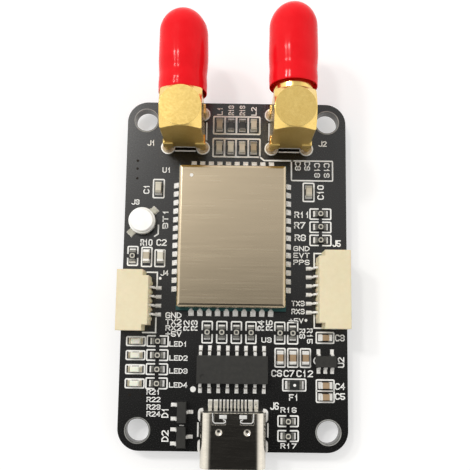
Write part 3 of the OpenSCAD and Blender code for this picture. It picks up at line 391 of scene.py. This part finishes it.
def dipped_cap(name, node, trim, lean):
    """A cap of dipped vinyl, slightly uneven as it comes off its former."""
    low, high = (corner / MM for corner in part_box(node))
    mouth, end = low.y, high.y - trim
    across, height = (low.x + high.x) / 2, (low.z + high.z) / 2
    around = 96
    side = [(point.x, point.y) for point in spline(CAP_SIDE, 6)]
    shoulder, radius = side[-1]
    length = end - mouth - shoulder
    outside = side + [(shoulder + length * math.sin(math.radians(a)), radius * math.cos(math.radians(a)))
                      for a in range(5, 90, 5)]
    inside = [(CAP_STRAIGHT + (CAP_HOLLOW - CAP_STRAIGHT) * math.cos(math.radians(a)),
               CAP_INSIDE * math.sin(math.radians(a))) for a in range(10, 91, 10)]
    inside += [(s, CAP_INSIDE) for s in (6.0, 3.0, 0.08)] + [(0.0, 3.22)]
    bm = bmesh.new()

    def ring(s, r, uneven):
        points = []
        for i in range(around):
            angle = 2 * math.pi * i / around
            wave = 0.018 * math.sin(2 * angle + lean + 0.5 * s) + 0.012 * math.sin(3 * angle - 0.8 * s)
            wave += 0.05 * lean * math.cos(angle) * max(0.0, s - shoulder)
            size = r + uneven * min(1.0, s / 3) * wave * r / radius
            points.append(bm.verts.new((across + size * math.cos(angle), mouth + s,
                                        height + size * math.sin(angle))))
        return points

    rings = [ring(s, r, 1.0) for s, r in outside][::-1] + [ring(s, r, 0.0) for s, r in inside[::-1]]
    for a, b in zip(rings, rings[1:]):
        for i in range(around):
            j = (i + 1) % around
            bm.faces.new((a[i], a[j], b[j], b[i]))
    for points, tip in ((rings[0], end), (rings[-1], mouth + CAP_HOLLOW)):
        middle = bm.verts.new((across, tip, height))
        for i in range(around):
            bm.faces.new((points[i], points[(i + 1) % around], middle))
    for face in bm.faces:
        face.smooth = True
    made = piece(name, bm, vinyl)
    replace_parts(made, node)


dipped_cap("left_cap_skin", "left_dust_cap", 0.42, -1.0)
dipped_cap("right_cap_skin", "right_dust_cap", 0.36, 0.4)


# Middles of the small parts: capacitors, lamps, resistors and the fuse

UPRIGHT = [(-11.2, 12.0), (10.55, 11.75), (-12.65, 2.1), (-10.65, 2.1)]
UPRIGHT += [(x, -12.05) for x in (6.5, 8.28, 10.06)]
UPRIGHT += [(x, y) for x in (-2.55, -0.9, 0.82, 2.55) for y in (21.66, 18.26)]
LEVEL = [(12.85, -9.2), (12.85, -15.8), (12.85, -17.36)]
LAMPS = [(-13.78, -9.98 - 1.95 * i) for i in range(4)]
TURNED = [(x, -8.6) for x in (-3.8, -1.74, 0.32, 2.38, 6.45, 8.27)] + [(-14.65, 2.1)]
FLAT = [(-10.7, -9.95 - 1.95 * i) for i in range(4)] + [(7.65, -20.75), (7.65, -22.75)]
FLAT += [(12.25, y) for y in (8.55, 6.63, 4.71)]
FUSE = (8.5, -15.8)


def close_solder():
    """The solder joints, drawn close to the ends of the small parts."""
    bm = node_mesh("solder_joints")
    reach = 0.45
    # Middle, half width and half height of the solder of each part
    places = [(x, y, 0.52, 1.0) for x, y in UPRIGHT] + [(x, y, 1.0, 0.52) for x, y in LEVEL + LAMPS]
    places += [(x, y, 0.44, 1.06) for x, y in TURNED] + [(x, y, 1.06, 0.44) for x, y in FLAT]
    places += [(*FUSE, 1.3, 0.56)]
    for vert in bm.verts:
        for x, y, half_width, half_height in places:
            across, along = vert.co.x - x, vert.co.y - y
            near = abs(across) < half_width + reach and abs(along) < half_height + reach
            if near and vert.co.z > DECK - SINK:
                vert.co.x = x + max(-half_width, min(half_width, across))
                vert.co.y = y + max(-half_height, min(half_height, along))
    made = piece("close_solder", bm, solder)
    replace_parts(made, "solder_joints")


def block(bm, low, high, round_off):
    """A box with rounded edges."""
    made = bmesh.ops.create_cube(bm, size=1.0)["verts"]
    for vert in made:
        vert.co = Vector(h if c > 0 else l for c, l, h in zip(vert.co, low, high))
    edges = list({edge for vert in made for edge in vert.link_edges})
    bmesh.ops.bevel(bm, geom=edges, offset=round_off, segments=3, profile=0.5, affect="EDGES",
                    clamp_overlap=True)


def wide_lamps():
    """The indicator lamps: base, lens and end terminals."""
    foot = DECK + 0.05
    lens, base, ends = bmesh.new(), bmesh.new(), bmesh.new()
    for x, y in LAMPS:
        block(base, (x - 0.72, y - 0.4, foot), (x + 0.72, y + 0.4, foot + 0.3), 0.03)
        block(lens, (x - 0.6, y - 0.37, foot + 0.28), (x + 0.6, y + 0.37, foot + 0.72), 0.1)
        for side in (-1, 1):
            inner, outer = sorted((x + side * 0.7, x + side * 0.97))
            block(ends, (inner, y - 0.4, foot), (outer, y + 0.4, foot + 0.34), 0.05)
    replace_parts(piece("lamp_base_set", base, lamp_base), "lamp_bases")
    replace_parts(piece("lamp_lens_set", lens, lamp_resin), "lamp_lenses")
    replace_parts(piece("lamp_end_set", ends, lamp_terminal), "lamp_terminals")


close_solder()
wide_lamps()


def low_ribs(name, node, side, share):
    """A header housing with flatter ribs along its rear wall."""
    rib = 0.28
    low, high = (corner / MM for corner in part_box(node))
    wall = low.x + rib if side > 0 else high.x - rib
    bm = node_mesh(node)
    for vert in bm.verts:
        if side * (vert.co.x - wall) < -0.001:
            vert.co.x = wall + share * (vert.co.x - wall)
    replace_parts(piece(name, bm, nylon), node)


low_ribs("left_header_shell", "left_header_housing", -1, 0.6)
low_ribs("right_header_shell", "right_header_housing", 1, 0.3)


# Marks printed on the board: closed ribbons, each a thin solid on the mask

INK = 0.018
LINE = 0.2


def offsets(points, closed):
    """The sideways direction at each point of a line, longer at its corners."""
    count = len(points)
    result = []
    for i, point in enumerate(points):
        before = points[i - 1] if closed or i > 0 else None
        after = points[(i + 1) % count] if closed or i < count - 1 else None
        sides = []
        for a, b in ((before, point), (point, after)):
            if a is not None and b is not None:
                along = (b - a).normalized()
                sides.append(Vector((-along.y, along.x)))
        side = sum(sides, Vector((0, 0)))
        side.normalize()
        result.append(side / max(0.4, side.dot(sides[0])))
    return result


def ribbon(bm, line, width=LINE, closed=False, low=DECK, high=DECK + INK):
    points = [Vector(p) for p in line]
    if not closed:
        points[0] = points[0] + (points[0] - points[1]).normalized() * width / 2
        points[-1] = points[-1] + (points[-1] - points[-2]).normalized() * width / 2
    rings = []
    for point, side in zip(points, offsets(points, closed)):
        left, right = point + side * width / 2, point - side * width / 2
        rings.append([bm.verts.new((p.x, p.y, z)) for p, z in
                      ((left, low), (right, low), (right, high), (left, high))])
    pairs = list(zip(rings, rings[1:])) + ([(rings[-1], rings[0])] if closed else [])
    for a, b in pairs:
        for i in range(4):
            bm.faces.new((a[i], a[(i + 1) % 4], b[(i + 1) % 4], b[i]))
    if not closed:
        bm.faces.new(rings[0][::-1])
        bm.faces.new(rings[-1])


def disc(bm, x, y, radius, low=DECK, high=DECK + INK, steps=20):
    angles = [2 * math.pi * i / steps for i in range(steps)]
    rings = [[bm.verts.new((x + radius * math.cos(a), y + radius * math.sin(a), z)) for a in angles]
             for z in (low, high)]
    bm.faces.new(rings[0][::-1])
    bm.faces.new(rings[1])
    for i in range(steps):
        j = (i + 1) % steps
        bm.faces.new((rings[0][i], rings[0][j], rings[1][j], rings[1][i]))


def circle(x, y, radius, steps=48):
    angles = [2 * math.pi * i / steps for i in range(steps)]
    return [(x + radius * math.cos(a), y + radius * math.sin(a)) for a in angles]


def rounded_box(x, y, width, height, radius=0.13):
    points = []
    for quarter, (sx, sy) in enumerate(((1, 1), (-1, 1), (-1, -1), (1, -1))):
        for step in range(4):
            angle = math.pi / 2 * (quarter + step / 3)
            points.append((x + sx * (width / 2 - radius) + radius * math.cos(angle),
                           y + sy * (height / 2 - radius) + radius * math.sin(angle)))
    return points


def bracket_pair(bm, x, y, width, height, gap, upright):
    """Two brackets that face each other across a gap."""
    radius = 0.13
    for side in (-1, 1):
        line = [(side * gap / 2, height / 2)]
        for corner in (1, -1):
            for step in range(4):
                angle = math.pi / 2 * (step / 3 if corner == 1 else 1 + step / 3)
                line.append((side * (width / 2 - radius + radius * math.sin(angle)),
                             corner * (height / 2 - radius) + radius * math.cos(angle)))
        line.append((side * gap / 2, -height / 2))
        if upright:
            line = [(-b, a) for a, b in line]
        ribbon(bm, [(x + a, y + b) for a, b in line])


# Strokes of each letter on a grid four wide and six high
GLYPHS = {
    "B": "00063645443303|3342413000", "C": "4536160501103041", "D": "00062644422000",
    "E": "46060040|0333", "F": "460600|0333", "G": "45361605011030414323", "J": "4641301001", "L": "060040",
    "N": "00064046", "P": "00063645443303", "R": "00063645443303|2340", "S": "453616050413334241301001",
    "T": "0646|2620", "U": "060110304146", "V": "062046", "X": "0046|0640", "+": "2125|0343",
    "0": "103041453616050110", "1": "142620", "2": "05163645440040",
    "3": "0516364544334241301001|1333", "4": "30360242", "5": "460603334241301001",
    "6": "4536160501103041423303", "7": "064610", "8": "13040516364544331302011030414233",
    "9": "0110304145361605041343",
}


def write(bm, words, x, y, height, width, turn):
    """Writes words about a middle point, with the height of a letter and the length of the line."""
    letter = width / (len(words) + 0.4 * (len(words) - 1))
    across, along = math.sin(math.radians(turn)), math.cos(math.radians(turn))
    for i, sign in enumerate(words):
        start = -width / 2 + i * 1.4 * letter
        for stroke in GLYPHS[sign].split("|"):
            line = []
            for a, b in zip(stroke[::2], stroke[1::2]):
                u = start + int(a) / 4 * letter
                v = (int(b) / 6 - 0.5) * height
                line.append((x + u * along - v * across, y + u * across + v * along))
            closed = line[0] == line[-1]
            ribbon(bm, line[:-1] if closed else line, min(0.16, 0.21 * height), closed)


# Words, middle, letter height, length and turn
WORDS = [
    ("J1", -12.46, 18.82, 0.68, 1.04, 0), ("J2", 12.61, 19.03, 0.68, 1.08, 0),
    ("U1", -10.08, 14.79, 0.67, 1.18, 0), ("C1", -12.98, 11.92, 0.72, 1.25, 90),
    ("J3", -14.51, 9.98, 0.65, 1.02, 0), ("BT1", -10.11, 7.54, 0.68, 2.7, 90),
    ("R10", -12.75, 4.07, 0.79, 1.58, 0), ("C2", -10.59, 4.1, 0.79, 1.3, 0),
    ("J4", -10.04, -0.3, 0.63, 1.01, 0), ("GND", -8.61, -6.3, 0.7, 2.13, 0),
    ("TX2", -8.59, -7.23, 0.67, 2.13, 0), ("RX2", -8.57, -8.09, 0.62, 2.13, 0),
    ("+5V", -8.55, -8.93, 0.62, 2.13, 0), ("R2", -6.74, -7.72, 0.7, 1.31, 90),
    ("R3", -5.64, -7.7, 0.78, 1.31, 90), ("LED1", -7.81, -10.32, 0.62, 2.44, 0),
    ("LED2", -7.76, -12.27, 0.61, 2.44, 0), ("LED3", -7.74, -14.07, 0.61, 2.44, 0),
    ("LED4", -7.72, -16, 0.6, 2.44, 0), ("R21", -11.13, -17, 0.6, 1.82, 0),
    ("R22", -11.1, -18.03, 0.59, 1.81, 0), ("R23", -11.07, -19.05, 0.59, 1.81, 0),
    ("R24", -11.05, -20, 0.59, 1.81, 0), ("D1", -9.46, -19.78, 0.82, 1.26, 90),
    ("D2", -9.37, -22.96, 0.81, 1.38, 90), ("C10", 12.29, 11.76, 0.78, 1.99, 90),
    ("R11", 9.62, 8.42, 0.76, 2.1, 0), ("R7", 9.27, 6.87, 0.8, 1.45, 0),
    ("R8", 9.34, 5.06, 0.8, 1.45, 0), ("J5", 14.56, 4.29, 0.79, 1.05, 0),
    ("GND", 9.52, 3.48, 0.61, 2.19, 0), ("EVT", 9.52, 2.5, 0.62, 2.19, 0),
    ("PPS", 9.52, 1.5, 0.62, 2.19, 0), ("TX3", 9.02, -4.4, 0.63, 1.74, 0),
    ("RX3", 9.02, -5.54, 0.63, 1.74, 0), ("+5V", 8.75, -6.84, 0.56, 1.95, 0),
    ("R4", 3.75, -7.58, 0.8, 1.31, 90), ("R5", 4.96, -7.56, 0.8, 1.31, 90),
    ("U3", 4.58, -9.6, 0.61, 1.3, 0), ("R6", 9.62, -8.66, 0.7, 1.27, -90),
    ("R15", 10.68, -8.97, 0.67, 2.01, -90), ("C3", 14.93, -9.19, 0.78, 1.2, 0),
    ("C6", 6.04, -14.22, 0.79, 1.35, 0), ("C7", 7.76, -14.22, 0.79, 1.35, 0),
    ("C12", 9.97, -14.22, 0.79, 2.15, 0), ("F1", 8.47, -17.51, 0.73, 1.25, 0),
    ("U2", 15.07, -12.61, 0.75, 1.29, 90), ("C4", 14.9, -15.93, 0.75, 1.24, 0),
    ("C5", 14.9, -17.3, 0.75, 1.24, 0), ("J6", 5.75, -18.71, 0.86, 1.05, 0),
    ("R16", 7.71, -19.23, 0.6, 2.11, 0), ("R17", 7.72, -24.1, 0.58, 2.1, 0),
    ("C8", 9, 15.68, 0.7, 1.25, -90), ("C9", 10.35, 15.68, 0.7, 1.25, -90),
    ("C18", 11.8, 15.05, 0.7, 2.05, -90), ("C19", 13.2, 15.05, 0.7, 2.05, -90),
    ("L1", -2.5, 23.85, 0.67, 1.15, 90), ("R18", -0.85, 23.95, 0.67, 1.35, 90),
    ("R19", 0.8, 23.95, 0.67, 1.35, 90), ("L2", 2.5, 23.85, 0.67, 1.15, 90),
]


def printed_marks():
    bm = bmesh.new()
    for words in WORDS:
        write(bm, *words)
    # Filter rows beside the jacks
    for y, height, edges in ((21.66, 2.62, (-3.39, -1.72, -0.04, 1.68, 3.4)),
                             (18.26, 2.71, (-3.42, -1.75, -0.09, 1.72, 3.43))):
        ribbon(bm, rounded_box((edges[0] + edges[-1]) / 2, y, edges[-1] - edges[0], height), 0.22, True)
        for x in edges[1:-1]:
            ribbon(bm, [(x, y + height / 2 - 0.2), (x, y - height / 2 + 0.2)], 0.26)
    # Boxes around single parts: middle, width and height
    for x, y, width, height in ((-11.2, 12.0, 1.55, 2.7), (10.55, 11.75, 1.55, 2.7),
                                (-12.65, 1.98, 1.42, 2.75), (-10.76, 1.82, 1.4, 2.4),
                                (6.5, -12.05, 1.4, 2.55), (8.28, -12.05, 1.4, 2.55),
                                (10.06, -12.05, 1.4, 2.55),
                                (12.83, -9.2, 2.46, 1.5), (8.5, -15.8, 3.2, 1.6)):
        ribbon(bm, rounded_box(x, y, width, height), LINE, True)
    ribbon(bm, rounded_box(12.83, -16.58, 2.46, 3.05), LINE, True)
    ribbon(bm, [(11.7, -16.58), (13.96, -16.58)])
    for i in range(4):
        y = -9.95 - 1.95 * i
        ribbon(bm, rounded_box(-13.8, y - 0.05, 2.6, 1.2), LINE, True)
        bracket_pair(bm, -10.75, y, 2.95, 1.45, 0.75, False)
    for y in (8.55, 6.63, 4.71):
        bracket_pair(bm, 12.25, y, 3.0, 1.5, 0.7, False)
    for y in (-20.75, -22.75):
        bracket_pair(bm, 7.65, y, 2.8, 1.42, 0.7, False)
    for x in (-3.8, -1.74, 0.32, 2.38):
        bracket_pair(bm, x, -8.6, 3.0, 1.4, 0.75, True)
    for x in (6.45, 8.27):
        bracket_pair(bm, x, -8.6, 3.0, 1.4, 0.75, True)
    bracket_pair(bm, -14.65, 2.1, 2.7, 1.4, 0.75, True)
    # Box of words and its leader line
    ribbon(bm, rounded_box(11.05, 14.95, 6.0, 2.95), LINE, True)
    ribbon(bm, [(8.2, 16.42), (4.05, 16.42), (3.4, 16.95)], 0.22)
    # Headers
    ribbon(bm, [(-12.5, -0.22), (-11.06, -0.22), (-11.06, -2.13)])
    ribbon(bm, [(-12.9, -8.77), (-11.08, -8.77), (-11.08, -6.72)])
    ribbon(bm, [(12.87, 2.8), (11.33, 2.8), (11.33, 0.96)])
    ribbon(bm, [(12.82, -7.84), (11.32, -7.84), (11.32, -6.07)])
    disc(bm, -10.64, -1.07, 0.2)
    disc(bm, 10.15, -6.78, 0.2)
    # Serial chip and diodes
    disc(bm, -5.64, -16.55, 0.4)
    ribbon(bm, [(-7.35, -21.5), (-6.85, -21.5)], 0.15)
    # Regulator
    ribbon(bm, [(11.75 + 0.5 * math.cos(math.radians(a)), -12.42 + 0.5 * math.sin(math.radians(a)))
                for a in range(125, 236, 22)], 0.17)
    # USB socket
    for side in (-1, 1):
        ribbon(bm, [(side * 4.85, -21.15), (side * 4.85, -22.9)])
    # Jacks
    for x in (-7.5, 7.7):
        ribbon(bm, [(x - 1.45, 18.3), (x + 1.45, 18.3)], 0.16)
        ribbon(bm, [(x - 1.45, 17.7), (x + 1.45, 17.7)], 0.18)
    for x in (-4.4, 4.75):
        ribbon(bm, [(x, 21.95), (x, 19.45)])
    # Backup cell
    ribbon(bm, [(-11.1, 6.6), (-11.1, 5.35), (-11.6, 5.0)])
    return piece("printed_marks", bm, white_ink)


printed_marks()


def hole_rims():
    bm = bmesh.new()
    for x in (-13.25, 13.25):
        for y in (-22.25, 22.25):
            ribbon(bm, circle(x, y, 1.73), 0.16, True, DECK, DECK + 0.012)
    return piece("hole_rims", bm, bare_rim)


hole_rims()


def pad_rings():
    """The tinned rims of the jacks' pads."""
    bm = bmesh.new()
    for x in (-7.45, 7.65):
        for side in (-2.54, 2.54):
            for y in (18.16, 23.24):
                ribbon(bm, circle(x + side, y, 0.91), 0.2, True, DECK, DECK + 0.16)
    return piece("pad_rings", bm, nickel_and_lip_highlight)


pad_rings()


def vias():
    """Small plated holes, drawn as dark discs on the mask: painted shade for the dark inside of the holes.
    """
    bm = bmesh.new()
    for x, y in ((-14.37, 16.13), (-14.37, 14.95), (-14.37, 13.5), (-14.46, -17.42), (-12.66, -17.42)):
        disc(bm, x, y, 0.19, DECK, DECK + 0.01, 14)
    return piece("vias", bm, painted_via_shade)


vias()


def part_marks():
    """A figure on each resistor."""
    bm = bmesh.new()
    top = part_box("resistor_bodies")[1].z / MM
    for x, y in TURNED + FLAT:
        ribbon(bm, rounded_box(x, y, 0.56, 0.56, 0.2), 0.15, True, top - SINK, top + INK)
    return piece("part_marks", bm, faded_ink)


part_marks()


def fuse_mark():
    bm = bmesh.new()
    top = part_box("fuse_body")[1].z / MM
    disc(bm, *FUSE, 0.2, top - SINK, top + INK)
    return piece("fuse_mark", bm, white_ink)


fuse_mark()


def shell_lip_highlights():
    """Painted highlights on the lips of the openings in the socket's shell and on the latches under them,
    laid as bright strips on the shell's top.
    """
    bm = bmesh.new()
    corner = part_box("usb_shell")[1] / MM
    rear, low, high = corner.y, corner.z - SINK, corner.z + 0.012
    lip = [(2.76, -0.06), (2.68, -1.1), (2.45, -1.3), (1.25, -1.3), (1.0, -1.14), (1.06, -0.92),
           (1.3, -0.84)]
    latch = [(1.1, -0.48), (1.6, -0.48)]
    for side in (-1, 1):
        # painted highlights along the lips and latches
        for line, width in ((lip, 0.13), (latch, 0.5)):
            ribbon(bm, [(side * x, rear + y) for x, y in line], width, False, low, high)
    return piece("shell_lip_highlights", bm, nickel_and_lip_highlight)


shell_lip_highlights()


def shield_mark():
    bm = bmesh.new()
    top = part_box("module_shield")[1].z / MM
    disc(bm, -6.3, 13.4, 0.24, top - SINK, top + 0.01)
    return piece("shield_mark", bm, white_ink)


shield_mark()


# Camera, floor and light

SPOT_DISTANCE, SPOT_SIZE, SPOT_POWER = 0.5, 0.05, 0.42
FLOOR_GLOW = 0.44


def add_camera():
    eye = Vector((-0.3072, -9.2602, 87.292)) * MM
    tilt, roll, turn = 0.119, -0.0036, 0.0133
    focal_px, image_px, middle_px = 603.256, 470.0, 265.0
    data = bpy.data.cameras.new("camera")
    data.sensor_fit = "HORIZONTAL"
    data.sensor_width = 36.0
    data.lens = focal_px / image_px * data.sensor_width
    data.shift_y = (middle_px - image_px / 2) / image_px
    data.clip_start = 0.004
    data.clip_end = 20.0
    camera = bpy.data.objects.new("camera", data)
    turned = (Matrix.Rotation(tilt, 4, "X") @ Matrix.Rotation(roll, 4, "Y")
              @ Matrix.Rotation(turn, 4, "Z"))
    camera.matrix_world = Matrix.Translation(eye) @ turned
    bpy.context.scene.collection.objects.link(camera)
    bpy.context.scene.camera = camera


def add_floor():
    bm = bmesh.new()
    bmesh.ops.create_grid(bm, x_segments=1, y_segments=1, size=2.0)
    mesh = bpy.data.meshes.new("floor")
    bm.to_mesh(mesh)
    bm.free()
    floor = bpy.data.objects.new("floor", mesh)
    floor.location.z = (FLOOR - 0.02) * MM
    bpy.context.scene.collection.objects.link(floor)
    look = material("floor", (0.63, 0.63, 0.63), (0.65, 0.65, 0.65), (0.8, 0.9), (0.02, 0.02, 0.02))
    tree = look.node_tree
    shader = tree.nodes["Principled BSDF"]
    shader.inputs["Specular IOR Level"].default_value = 0.0
    shader.inputs["Emission Color"].default_value = (1, 1, 1, 1)
    seen = add_node(tree, "ShaderNodeLightPath")
    glossy = add_node(tree, "ShaderNodeMath", operation="MAXIMUM")
    through = add_node(tree, "ShaderNodeMath", operation="MAXIMUM")
    tree.links.new(seen.outputs["Is Camera Ray"], glossy.inputs[0])
    tree.links.new(seen.outputs["Is Glossy Ray"], glossy.inputs[1])
    tree.links.new(glossy.outputs[0], through.inputs[0])
    tree.links.new(seen.outputs["Is Transmission Ray"], through.inputs[1])
    glow = span(tree, through.outputs[0], 0.0, FLOOR_GLOW, 0.0, 1.0)
    tree.links.new(glow, shader.inputs["Emission Strength"])
    mesh.materials.append(look)


def add_spot(name, direction):
    data = bpy.data.lights.new(name, "AREA")
    data.shape = "DISK"
    data.size = SPOT_SIZE
    data.energy = SPOT_POWER
    data.color = (1.0, 0.98, 0.95)
    lamp = bpy.data.objects.new(name, data)
    lamp.location = Vector(direction).normalized() * SPOT_DISTANCE
    lamp.rotation_euler = (-lamp.location).to_track_quat("-Z", "Y").to_euler()
    bpy.context.scene.collection.objects.link(lamp)


def add_world():
    """A pale studio, brighter low down and dark on the near side, with a window on the far left."""
    world = bpy.data.worlds.new("studio")
    bpy.context.scene.world = world
    world.use_nodes = True
    tree = world.node_tree
    sky = tree.nodes["Background"]
    place = add_node(tree, "ShaderNodeTexCoord")

    def along(direction, low, high, start, end):
        dot = add_node(tree, "ShaderNodeVectorMath", operation="DOT_PRODUCT")
        tree.links.new(place.outputs["Generated"], dot.inputs[0])
        dot.inputs[1].default_value = Vector(direction).normalized()
        node = add_node(tree, "ShaderNodeMapRange", {"From Min": start, "From Max": end, "To Min": low,
                                                    "To Max": high}, interpolation_type="SMOOTHSTEP")
        tree.links.new(dot.outputs["Value"], node.inputs["Value"])
        return node.outputs["Result"]

    def combined(operation, first, second):
        node = add_node(tree, "ShaderNodeMath", operation=operation)
        tree.links.new(first, node.inputs[0])
        tree.links.new(second, node.inputs[1])
        return node.outputs[0]

    base = along((0, 0, 1), 1.2, 0.74, 0.45, 0.92)
    near_side = combined("MAXIMUM", along((0.05, -0.42, 0.9), 0.0, 0.97, 0.78, 0.95),
                         along((0.05, -0.75, 0.66), 0.0, 0.66, 0.72, 0.9))
    window = along((-0.44, 0.42, 0.8), 0.0, 0.28, 0.87, 0.98)
    shade = combined("MULTIPLY", near_side, base)
    level = combined("ADD", combined("SUBTRACT", base, shade), window)
    tree.links.new(level, sky.inputs["Strength"])
    sky.inputs["Color"].default_value = (1.0, 0.985, 0.96, 1)


add_camera()
add_floor()
add_spot("left_spot", (-0.555, 0.41, 0.724))
add_spot("right_spot", (-0.349, 0.41, 0.843))
add_world()
bpy.context.scene.view_settings.view_transform = "Standard"
